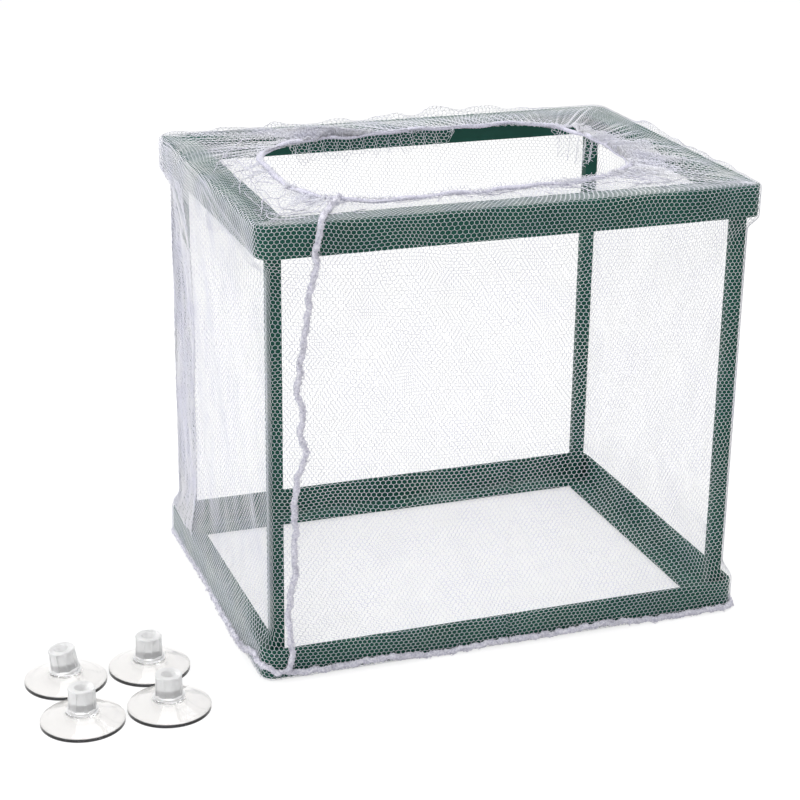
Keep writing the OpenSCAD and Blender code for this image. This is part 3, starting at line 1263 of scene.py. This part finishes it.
def loft(
    name: str,
    path: Array,
    across: Array,
    rise: Array,
    width: Array,
    height: Array,
    sides: int,
    closed: bool,
) -> bpy.types.Object:
    """Sweep an oval section along a path, as a closed skin.

    Args:
        name: The piece's name.
        path: One row of x, y and z for each section.
        across: Unit direction of each section's width.
        rise: Unit direction of each section's height.
        width: Width of each section at each of its corners, in millimetres.
        height: Height of each section at each of its corners, in millimetres.
        sides: Number of corners of a section.
        closed: Whether the path's end meets its start.

    Returns:
        The piece.
    """
    turn = np.linspace(0, 2 * math.pi, sides, endpoint=False)
    skin = (
        path[:, None, :]
        + (width / 2 * np.cos(turn))[:, :, None] * across[:, None, :]
        + (height / 2 * np.sin(turn))[:, :, None] * rise[:, None, :]
    )
    skin[:, :, 2] = np.maximum(skin[:, :, 2], TABLE_GAP)
    number = np.arange(len(path) * sides).reshape(len(path), sides)
    beside = np.roll(number, -1, axis=1)
    if closed:
        first, last = number, np.roll(number, -1, axis=0)
        first_beside, last_beside = beside, np.roll(beside, -1, axis=0)
    else:
        skin[0], skin[-1] = path[0], path[-1]
        first, last, first_beside, last_beside = number[:-1], number[1:], beside[:-1], beside[1:]
    faces = np.stack([first, last, last_beside, first_beside], axis=-1).reshape(-1, 4)
    piece = Shop.mesh(name, skin.reshape(-1, 3), faces, 4)
    Shop.pick(piece)
    bpy.ops.object.mode_set(mode="EDIT")
    bpy.ops.mesh.select_all(action="SELECT")
    if not closed:
        bpy.ops.mesh.remove_doubles(threshold=1e-6)
    bpy.ops.mesh.normals_make_consistent(inside=False)
    Shop.close()
    return piece


def along_path(points: Array, step: float) -> tuple[Array, Array, Array]:
    """Run along a path through given points.

    Args:
        points: One row of x, y and z for each point.
        step: Distance between the places on the path.

    Returns:
        The places, the unit directions of travel and the lengths along the path.
    """
    knots = np.concatenate([[0], np.cumsum(np.linalg.norm(np.diff(points, axis=0), axis=1))])
    length = np.arange(0, knots[-1], step)
    place = look_up(length, knots, points)
    soft = np.array([0.25, 0.5, 0.25])
    for _ in range(6):
        place[1:-1] = sum(w * place[k : len(place) - 2 + k] for k, w in enumerate(soft))
    travel = np.gradient(place, axis=0)
    return place, travel / np.linalg.norm(travel, axis=1, keepdims=True), length


def thread_loops(
    name: str,
    place: Array,
    travel: Array,
    out: Array,
    count: int,
    reach: float,
    seed: int,
) -> bpy.types.Object:
    """Scatter small loops of thread that stick out of a seam.

    Args:
        name: The piece's name.
        place: Places along the seam.
        travel: Unit direction of the seam at each place.
        out: Unit direction away from the cloth at each place.
        count: Number of loops.
        reach: How far a loop sticks out, in millimetres.
        seed: Seed of the random numbers.

    Returns:
        The piece.
    """
    dice = np.random.default_rng(seed)
    at = dice.integers(2, len(place) - 2, count)
    sideways = np.cross(travel[at], out[at])
    lean = dice.uniform(-1, 1, count)[:, None]
    up = out[at] * np.sqrt(1 - 0.8 * lean**2) + sideways * lean
    run = travel[at] * dice.normal(0.6, 0.5, count)[:, None] + sideways * dice.normal(0, 0.5, count)[:, None]
    size = reach * dice.uniform(0.4, 1.0, count)[:, None]
    steps = 6
    radius = 0.085
    rings = []
    for k in range(steps + 1):
        angle = math.pi * k / steps
        middle = place[at] + size * (run * math.cos(angle) * 0.8 + up * math.sin(angle)) + up * 0.4
        for corner in range(3):
            turn = 2 * math.pi * corner / 3
            rings.append(middle + radius * (math.cos(turn) * travel[at] + math.sin(turn) * sideways))
    points = np.concatenate(rings)
    points[:, 2] = np.maximum(points[:, 2], TABLE_GAP)
    one = np.arange(count)
    faces = []
    for k in range(steps):
        for corner in range(3):
            first, second = (3 * k + corner) * count + one, (3 * k + (corner + 1) % 3) * count + one
            faces.append(np.stack([first, first + 3 * count, second + 3 * count, second], axis=1))
    return Shop.mesh(name, points, np.concatenate(faces), 4)


@dataclass
class Needlework:
    """What is sewn on the bag: the elastic band round the mouth with its frill, and the two seams."""

    bag: NetBag
    band_width: float = 2.1
    band_height: float = 1.25
    band_rise: float = 153.0
    stitch: float = 1.3
    frill_fullness: float = 1.2
    threads: int = 60
    seam_width: float = 2.05
    seam_height: float = 1.7
    finish: SeamThread = field(default_factory=SeamThread)
    band_finish: ElasticCover = field(default_factory=ElasticCover)
    net_finish: NetYarn = field(default_factory=NetYarn)
    side_seam_run: tuple[tuple[float, float], ...] = (
        (-66.2, 150.0), (-67.8, 142.5), (-67.3, 138.0), (-69.2, 127.1), (-68.7, 124.5),
        (-70.0, 116.9), (-72.9, 97.4), (-70.6, 91.5), (-71.9, 84.7), (-69.8, 76.4),
        (-72.7, 69.7), (-74.0, 58.6), (-73.4, 50.6), (-74.1, 41.3), (-73.2, 36.6),
        (-75.1, 30.2), (-76.2, 20.7), (-75.6, 8.0), (-78.2, 2.0),
    )

    def band_line(self, length: Array) -> tuple[Array, Array]:
        """Give the band's middle and its outward direction at lengths along the mouth.

        Args:
            length: Lengths along the mouth's edge in millimetres.

        Returns:
            Places and unit directions, one row of x, y and z each.
        """
        place = self.bag.mouth_place(length)
        travel = self.bag.mouth_place(length + 0.5) - self.bag.mouth_place(length - 0.5)
        travel /= np.linalg.norm(travel, axis=1, keepdims=True)
        out = np.stack([travel[:, 1], -travel[:, 0], np.zeros(len(travel))], axis=1)
        wave = 0.35 * np.sin(length * 2 * math.pi / 41) + 0.25 * np.sin(length * 2 * math.pi / 17 + 1)
        return np.concatenate([place, (self.band_rise + wave)[:, None]], axis=1), out

    def band(self) -> bpy.types.Object:
        """Make the elastic's ridged cover."""
        length = np.linspace(0, self.bag.mouth_length, 1100, endpoint=False)
        place, out = self.band_line(length)
        place = place + out * (self.band_width / 2 - 0.2)
        rise = np.tile([0.0, 0.0, 1.0], (len(length), 1))
        sides = 10
        dice = np.random.default_rng(3)
        swell = 0.14 * Ripple(4, 26, 60)(length, length * 0)[:, None]
        ridges = 0.12 * np.sin(length * 2 * math.pi / self.stitch)[:, None]
        uneven = 1 + swell + ridges + dice.normal(0, 0.04, (len(length), sides))
        width, height = self.band_width * uneven, self.band_height * uneven
        band = loft("mouth_elastic_cover", place, out, rise, width, height, sides, True)
        return dress(band, self.band_finish, BAG_BODY, "mouth_elastic")

    def frill_height(self, length: Array) -> tuple[Array, Array]:
        """Say how high the frill is along the mouth and which way it goes.

        Args:
            length: Lengths along the mouth's edge in millimetres.

        Returns:
            Heights in millimetres, and directions from 1 for standing to -1 for hanging inside.
        """
        place = self.bag.mouth_place(length)
        x, y = place[:, 0], place[:, 1]
        back = 1.0 * (y > 15)
        left_hang = back * (1 - smooth_step(x, -2, 22)) * smooth_step(x, -50, -41)
        right_hang = smooth_step(x, 50, 54) * smooth_step(y, 2, 8)
        tall_back = back * smooth_step(x, -2, 6) * (1 - smooth_step(x, 28, 38))
        hang = np.maximum(left_hang, right_hang)
        height = 2.3 + 5.5 * left_hang + 8.5 * right_hang + 1.6 * tall_back
        return height, 1 - 2 * smooth_step(hang, 0.04, 0.3)

    def frill_surface(self, cloth: Array, height: Array) -> Array:
        """Give points of the frill from places in its cloth."""
        length = cloth / self.frill_fullness
        middle, out = self.band_line(length)
        _, way = self.frill_height(length)
        ruffle = np.sin(cloth * 2 * math.pi / 6.2 + 2 * np.sin(cloth / 17)) * np.minimum(height / 2.5, 1)
        folded = (1 - np.abs(way)) * height * 0.7
        shift = np.where(way > 0, 0.25 * height, -0.9 - 0.1 * height) - folded + 0.9 * ruffle
        middle = middle + out * (shift + self.band_width / 2)[:, None]
        middle[:, 2] += way * height * 0.92 + 0.3 * way
        return middle

    def frill(self) -> bpy.types.Object:
        """Make the frill's net."""
        knit = self.bag.knit
        total = self.bag.mouth_length * self.frill_fullness
        columns = 2 * round(total / knit.column)

        def short_enough(cloth: Array, height: Array) -> Array:
            """Keep the nodes up to the frill's ragged edge."""
            tall, _ = self.frill_height(cloth / self.frill_fullness)
            return height < tall * (1 + 0.12 * np.sin(cloth * 0.9) + 0.1 * np.sin(cloth * 0.37))

        patch = NetPatch(
            "mouth_frill_knit",
            self.frill_surface,
            0,
            columns,
            0,
            11,
            knit,
            keep=short_enough,
            tangle=0.04,
            step=total / columns,
        )
        return dress(patch.build(), self.net_finish, BAG_BODY, "mouth_frill")

    def seam(
        self, name: str, points: Array, out: Array, node: str, seed: int, closed: bool = False
    ) -> list[bpy.types.Object]:
        """Make one overlocked seam with its thread loops.

        Args:
            name: The seam's name.
            points: Points of its run.
            out: Direction away from the cloth at each point.
            node: The CAD node that it stands for.
            seed: Seed of the random numbers.
            closed: Whether it runs all round.

        Returns:
            The seam and its loops.
        """
        place, travel, length = along_path(points, 0.4)
        knots = np.linspace(0, 1, len(points))
        share = np.linspace(0, 1, len(place))
        away = look_up(share, knots, out)
        away -= travel * np.sum(away * travel, axis=1, keepdims=True)
        away /= np.linalg.norm(away, axis=1, keepdims=True)
        across = np.cross(travel, away)
        wander = Ripple(seed, 7, 50)
        place = place + across * 0.25 * wander(length, length * 0)[:, None]
        sides = 8
        dice = np.random.default_rng(seed)
        uneven = (
            1
            + 0.12 * np.sin(length * 2 * math.pi / self.stitch)[:, None]
            + 0.16 * wander(length * 1.7, length * 0 + 3)[:, None]
            + dice.normal(0, 0.1, (len(length), sides))
        )
        width, height = self.seam_width * uneven, self.seam_height * uneven
        seam = loft(name, place, across, away, width, height, sides, closed)
        loops = thread_loops(name + "_loops", place, travel, away, int(length[-1] * 3), 1.1, seed)
        return [dress(piece, self.finish, BAG_BODY, node) for piece in (seam, loops)]

    def side_seam(self) -> list[bpy.types.Object]:
        """Run the side seam from the mouth over the top and down the front."""
        run = np.array(self.side_seam_run)
        wall = self.bag.rest(run[:, 0], run[:, 1])
        out = np.tile([0.0, -1.0, 0.0], (len(wall), 1))
        wall = wall + out * (self.seam_height / 2 - 0.3)
        rise = self.bag.top + 0.9
        over = ((-52.5, -41.5, 0.6), (-55.5, -46, 0.4), (-59.8, -52.5, 0), (-63.4, -58.8, 0))
        top = np.array([(x, y, rise + extra) for x, y, extra in over])
        points = np.concatenate([top, [(-65.2, -62.8, rise - 0.1)], wall])
        up = np.tile([0.0, 0.0, 1.0], (len(top), 1))
        out = np.concatenate([up, [(0, -0.7, 0.7)], out])
        return self.seam("side_seam_thread", points, out, "side_seam", 5)

    def bottom_seam(self) -> list[bpy.types.Object]:
        """Run the bottom seam round the bag's foot."""
        girth = np.linspace(0, self.bag.girth, 240)
        place, normal = self.bag.outline(girth)
        front_left = hump(girth, self.bag.corners[3] - 8, 10)
        sag = 0.55 * np.sin(girth * 2 * math.pi / 97) + 0.35 * np.sin(girth * 2 * math.pi / 39 + 2)
        rise = 1.75 + sag + 4.6 * front_left + 0.9 * hump(girth, self.bag.girth - 45, 22)
        tucked = smooth_step(girth, self.bag.corners[2] - 10, self.bag.corners[2] + 5)
        tucked *= 1 - smooth_step(girth, self.bag.corners[2] + 50, self.bag.corners[2] + 95)
        rise = rise - 0.5 * tucked
        place = place + normal * (self.seam_height / 2 - 0.35 - 1.1 * tucked)[:, None]
        points = np.concatenate([place, np.maximum(rise, 1.25)[:, None]], axis=1)
        out = np.concatenate([normal, np.full((len(girth), 1), 0.35)], axis=1)
        return self.seam("bottom_seam_thread", points, out, "bottom_seam", 8)

    def loose_threads(self) -> bpy.types.Object:
        """Scatter the frayed threads that lie on the top left of the mouth and along its front."""
        dice = np.random.default_rng(9)
        threads = []
        for _ in range(self.threads):
            left = dice.uniform() < 0.65
            start_girth = self.bag.corners[3] if left else self.bag.girth
            girth = start_girth + (dice.uniform(-95, 12) if left else dice.uniform(-60, 90))
            start = dice.uniform(9, 19)
            steps = int(dice.uniform(18, 46))
            turn = np.cumsum(dice.normal(0, 0.22, steps)) + dice.uniform(0, 2 * math.pi)
            along = girth + np.cumsum(np.cos(turn)) * 0.9
            over = np.clip(start + np.cumsum(np.sin(turn)) * 0.45, 3, None)
            over = np.minimum(over, self.bag.top_reach(along) - 0.5)
            place = self.bag.rest(along, self.bag.flat_start + over)
            place[:, 2] += 0.35 + 0.5 * np.abs(np.sin(np.arange(steps) / 7))
            travel = np.gradient(place, axis=0)
            travel /= np.linalg.norm(travel, axis=1, keepdims=True)
            across = unit(np.cross(travel, [0.0, 0.0, 1.0]))
            size = np.full((steps, 3), dice.uniform(0.2, 0.42))
            threads.append(loft("thread", place, across, np.cross(across, travel), size, size, 3, False))
        return dress(Shop.join(threads, "net_top_threads"), self.finish, BAG_BODY, "net_top")

    def build(self) -> list[bpy.types.Object]:
        """Make the band, the frill, the seams and the loose threads, and give them all."""
        return [self.band(), self.frill(), *self.side_seam(), *self.bottom_seam(), self.loose_threads()]


@dataclass
class SuctionCup:
    """One clear suction cup, turned from its profile, with a fluted head that may lean."""

    centre: tuple[float, float]
    number: int
    lean: float = 0.0
    sides: int = 96
    head_sides: int = 32
    head_foot: float = 4.4
    flutes: int = 8
    finish: ClearVinyl = field(default_factory=ClearVinyl)
    head_finish: FrostedVinyl = field(default_factory=FrostedVinyl)
    # Near-black vinyl for the disc's rim: painted shade that stands in for the dark edge refraction gives the
    # clear rim
    painted_dark_rim_finish: ClearVinyl = ClearVinyl(name="vinyl_painted_dark_rim", tint=(0.004, 0.004, 0.005))
    disc_profile: tuple[tuple[float, float], ...] = (
        (1.2, 2.38), (3.6, 2.2), (6.4, 1.78), (9.2, 1.09), (11.2, 0.46),
        (12.45, 0.0), (13.25, 0.0), (13.25, 1.1), (13.0, 1.3), (10.8, 1.95),
        (8.4, 2.95), (6.2, 3.85), (5.2, 4.25), (4.9, 4.5), (4.0, 4.6),
        (4.0, 5.0),
    )
    head_profile: tuple[tuple[float, float], ...] = (
        (4.0, 0.0), (4.8, 0.05), (4.8, 0.55), (4.5, 0.8), (4.3, 7.1),
        (4.1, 7.5), (3.3, 7.6), (2.3, 7.45), (1.95, 7.0), (1.95, 2.35),
    )

    def turned(
        self, name: str, profile: Sequence[tuple[float, float]], sides: int, foot: float
    ) -> bpy.types.Object:
        """Turn a closed solid from its profile by drawing out one ring after another.

        Args:
            name: Its name.
            profile: Radius and height of each ring, from the underside's middle to the top's.
            sides: Number of sides.
            foot: Height that the profile's zero lies at.

        Returns:
            The solid.
        """
        x, y = self.centre
        radius, height = profile[0]
        Shop.clear()
        bpy.ops.mesh.primitive_circle_add(
            vertices=sides, radius=radius * MM, fill_type="TRIFAN", location=Shop.metres(x, y, foot + height)
        )
        piece = Shop.place(bpy.context.object, name)
        middle = Vector(self.centre)
        Shop.select_edges(piece, lambda *ends: min((end.xy - middle).length for end in ends) > radius / 2)
        for next_radius, next_height in profile[1:]:
            lift = (0, 0, (next_height - height) * MM)
            bpy.ops.mesh.extrude_edges_move(TRANSFORM_OT_translate={"value": lift})
            factor = next_radius / radius
            centre = Shop.metres(x, y, foot + next_height)
            bpy.ops.transform.resize(value=(factor, factor, 1), center_override=centre)
            radius, height = next_radius, next_height
        bpy.ops.mesh.extrude_edges_move(TRANSFORM_OT_translate={"value": (0, 0, 0)})
        bpy.ops.mesh.merge(type="CENTER")
        bpy.ops.mesh.select_all(action="SELECT")
        bpy.ops.mesh.normals_make_consistent(inside=False)
        Shop.close()
        return piece

    def flute(self, head: bpy.types.Object) -> None:
        """Sink shallow upright panels into the head's side."""
        step = 360 / self.head_sides
        group = self.head_sides // self.flutes
        middle = Vector(self.centre)

        def panel(centre: Vector, normal: Vector) -> bool:
            """Say whether a face is part of a panel."""
            if abs(normal.z) > 0.3 or (centre.xy - middle).length < 3.5:
                return False
            place = centre.xy - middle
            column = int(math.degrees(math.atan2(place.y, place.x)) % 360 / step)
            return column % group != 0 and self.head_foot + 1 < centre.z < self.head_foot + 7

        Shop.select_faces(head, panel)
        bpy.ops.mesh.inset(thickness=0.12 * MM, depth=-0.22 * MM)
        Shop.close()

    def build(self) -> None:
        """Model the cup."""
        name = f"suction_cup_{self.number}"
        cup = self.turned(name + "_moulding", self.disc_profile, self.sides, 0)
        head = self.turned("head", self.head_profile, self.head_sides, self.head_foot)
        self.flute(head)
        if self.lean:
            Shop.edit(head)
            bpy.ops.object.mode_set(mode="EDIT")
            bpy.ops.mesh.select_all(action="SELECT")
            pivot = Shop.metres(*self.centre, self.head_foot)
            bpy.ops.transform.rotate(value=math.radians(self.lean), orient_axis="Y", center_override=pivot)
            Shop.close()
        Shop.combine(cup, head, "UNION")
        Shop.pick(cup)
        bpy.ops.object.shade_smooth_by_angle(angle=math.radians(38))
        dress(cup, self.finish, name, name)
        cup.data.materials.append(self.head_finish.build())
        cup.data.materials.append(self.painted_dark_rim_finish.build())
        for face in cup.data.polygons:
            if face.center.z > (self.head_foot - 0.2) * MM:
                face.material_index = 1
            # The rim's upright side faces get the near-black vinyl, painted shade rather than a dark part of
            # the clear vinyl
            elif abs(face.normal.z) < 0.2 and face.center.z < self.disc_profile[7][1] * MM:
                face.material_index = 2


class Camera:
    """The photograph's camera, worked out from the edges of the two rings and from the cups."""

    place = (-241.941, -619.035, 315.978)
    lens = 90.672
    sensor = 36.0
    yaw = 19.991
    pitch = 20.703
    roll = 0.737

    def build(self) -> None:
        """Set up the camera."""
        data = bpy.data.cameras.new("camera")
        data.lens = self.lens
        data.sensor_width = self.sensor
        data.clip_start, data.clip_end = 0.01, 20
        camera = bpy.data.objects.new("camera", data)
        bpy.context.scene.collection.objects.link(camera)
        yaw, pitch, roll = (math.radians(a) for a in (self.yaw, self.pitch, self.roll))
        forward = Vector((math.sin(yaw) * math.cos(pitch), math.cos(yaw) * math.cos(pitch), -math.sin(pitch)))
        right = Vector((math.cos(yaw), -math.sin(yaw), 0))
        up = right.cross(forward)
        turned_right = right * math.cos(roll) + up * math.sin(roll)
        turned_up = up * math.cos(roll) - right * math.sin(roll)
        turn = Matrix((turned_right, turned_up, -forward)).transposed()
        camera.matrix_world = Matrix.Translation(Vector(self.place) * MM) @ turn.to_4x4()
        bpy.context.scene.camera = camera


class Studio:
    """Pale floor and soft lamps."""

    floor_size = 6000.0

    def build(self) -> None:
        """Set up the floor, the world and the lamps."""
        bpy.context.scene.view_settings.view_transform = "Standard"
        self.floor()
        self.world()
        self.lamp("key", (-420, -520, 760), 420, 1.2)
        self.lamp("overhead", (120, 160, 900), 700, 4.4)
        self.lamp("left fill", (-900, 60, 360), 500, 3.3)

    def seen(self, nodes: bpy.types.Nodes, links: bpy.types.NodeLinks) -> bpy.types.NodeSocket:
        """Add a value that is 1 for what the camera sees straight on, in gloss or through clear plastic."""
        path = nodes.new("ShaderNodeLightPath")
        total = path.outputs["Is Camera Ray"]
        for name in ("Is Glossy Ray", "Is Transmission Ray"):
            most = nodes.new("ShaderNodeMath")
            most.operation = "MAXIMUM"
            links.new(total, most.inputs[0])
            links.new(path.outputs[name], most.inputs[1])
            total = most.outputs[0]
        return total

    def floor(self) -> None:
        """Lay the pale floor, which keeps a faint shadow."""
        Shop.clear()
        bpy.ops.mesh.primitive_plane_add(size=self.floor_size * MM, location=(0, 0, -0.1 * MM))
        floor = Shop.place(bpy.context.object, "floor")
        paper = bpy.data.materials.new("floor_paper")
        paper.use_nodes = True
        nodes, links = paper.node_tree.nodes, paper.node_tree.links
        nodes.clear()
        lit = nodes.new("ShaderNodeBsdfDiffuse")
        lit.inputs["Color"].default_value = (0.86, 0.86, 0.87, 1)
        dim = nodes.new("ShaderNodeBsdfDiffuse")
        dim.inputs["Color"].default_value = (0.3, 0.3, 0.3, 1)
        glow = nodes.new("ShaderNodeEmission")
        glow.inputs["Strength"].default_value = 0.78
        both = nodes.new("ShaderNodeAddShader")
        mix = nodes.new("ShaderNodeMixShader")
        out = nodes.new("ShaderNodeOutputMaterial")
        links.new(dim.outputs[0], both.inputs[0])
        links.new(glow.outputs[0], both.inputs[1])
        links.new(self.seen(nodes, links), mix.inputs[0])
        links.new(lit.outputs[0], mix.inputs[1])
        links.new(both.outputs[0], mix.inputs[2])
        links.new(mix.outputs[0], out.inputs[0])
        floor.data.materials.append(paper)

    def world(self) -> None:
        """Set the world: white to the camera, softer as light."""
        world = bpy.data.worlds.new("studio")
        bpy.context.scene.world = world
        world.use_nodes = True
        nodes, links = world.node_tree.nodes, world.node_tree.links
        nodes.clear()
        white = nodes.new("ShaderNodeBackground")
        white.inputs["Strength"].default_value = 1.0
        soft = nodes.new("ShaderNodeBackground")
        soft.inputs["Color"].default_value = (1, 1, 1, 1)
        soft.inputs["Strength"].default_value = 0.66
        white.inputs["Color"].default_value = (1, 1, 1, 1)
        mix = nodes.new("ShaderNodeMixShader")
        out = nodes.new("ShaderNodeOutputWorld")
        links.new(self.seen(nodes, links), mix.inputs[0])
        links.new(soft.outputs[0], mix.inputs[1])
        links.new(white.outputs[0], mix.inputs[2])
        links.new(mix.outputs[0], out.inputs[0])

    def lamp(self, name: str, place: Sequence[float], size: float, power: float) -> None:
        """Hang a soft square lamp that faces the box.

        Args:
            name: Its name.
            place: Its place in millimetres.
            size: Its side in millimetres.
            power: Its power in watts.
        """
        data = bpy.data.lights.new(name, "AREA")
        data.size = size * MM
        data.energy = power
        lamp = bpy.data.objects.new(name, data)
        bpy.context.scene.collection.objects.link(lamp)
        lamp.location = Shop.metres(*place)
        lamp.rotation_mode = "QUATERNION"
        lamp.rotation_quaternion = (Vector((0, 0, 0.07)) - lamp.location).to_track_quat("-Z", "Y")


def main() -> None:
    """Build the camera, the studio and every piece, in order."""
    logging.basicConfig(level=logging.INFO, format="%(name)s: %(message)s")
    Camera().build()
    Studio().build()
    PlasticFrame().build()
    NetBag().build()
    for number in range(1, 5):
        low, high = (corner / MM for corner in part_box(f"suction_cup_{number}"))
        centre = ((low.x + high.x) / 2, (low.y + high.y) / 2)
        SuctionCup(centre, number, lean=8.0 if number == 1 else 0.0).build()


if __name__ == "__main__":
    main()
